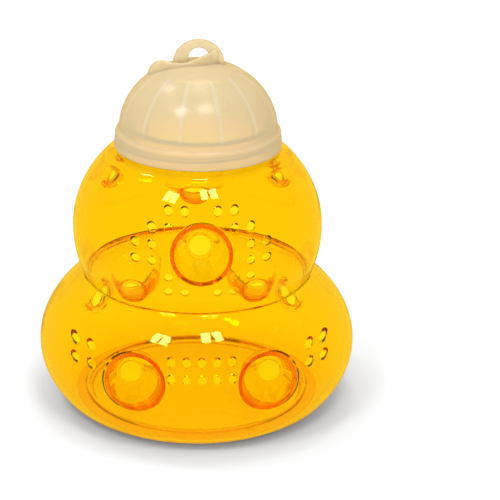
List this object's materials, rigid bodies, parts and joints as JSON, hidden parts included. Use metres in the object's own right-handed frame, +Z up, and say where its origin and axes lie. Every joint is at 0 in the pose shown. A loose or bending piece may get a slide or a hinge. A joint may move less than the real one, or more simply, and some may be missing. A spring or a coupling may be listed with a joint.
{
  "type": "wasp trap",
  "caption": "Two-storey rounded wasp trap with inward entry funnels, vent holes, a screw cap and a hanging loop.",
  "frame": {"origin": "middle of the base, on the surface that the trap stands on", "axes": "+Z up along the trap's axis, -Y the front with one funnel above and two below, +X to the right seen from the front"},
  "size_m": [0.1624, 0.1624, 0.1906],
  "materials": {
    "amber_shell": "clear amber, polished",
    "amber_funnel": "clear deep amber, polished",
    "frosted_cap": "natural translucent, satin",
    "liner": "matte"
  },
  "bodies": {
    "lower_storey": {"lower_shell": "amber_shell", "base_pan": "amber_shell", "lower_front_left_funnel": "amber_funnel", "lower_front_right_funnel": "amber_funnel", "lower_back_left_funnel": "amber_funnel", "lower_back_right_funnel": "amber_funnel", "lower_side_left_funnel": "amber_funnel", "lower_side_right_funnel": "amber_funnel"},
    "upper_storey": {"upper_shell": "amber_shell", "upper_front_funnel": "amber_funnel", "upper_back_funnel": "amber_funnel", "upper_side_left_funnel": "amber_funnel", "upper_side_right_funnel": "amber_funnel"},
    "liner": {"cap_liner": "liner"},
    "cap": {"cap": "frosted_cap"}
  },
  "joints": [
    {"name": "storey_lift", "type": "slide", "parent": "lower_storey", "child": "upper_storey", "axis": [0, 0, 1], "range_m": [0, 0.04]},
    {"name": "cap_rise", "type": "slide", "parent": "upper_storey", "child": "liner", "axis": [0, 0, 1], "range_m": [0, 0.02]},
    {"name": "cap_turn", "type": "hinge", "parent": "liner", "child": "cap", "pos_m": [0, 0, 0.147], "axis": [0, 0, 1], "range_deg": [0, 1440]}
  ],
  "couplings": [
    {"joint": "cap_rise", "follows": "cap_turn", "m_per_rad": 0.00079577}
  ]
}
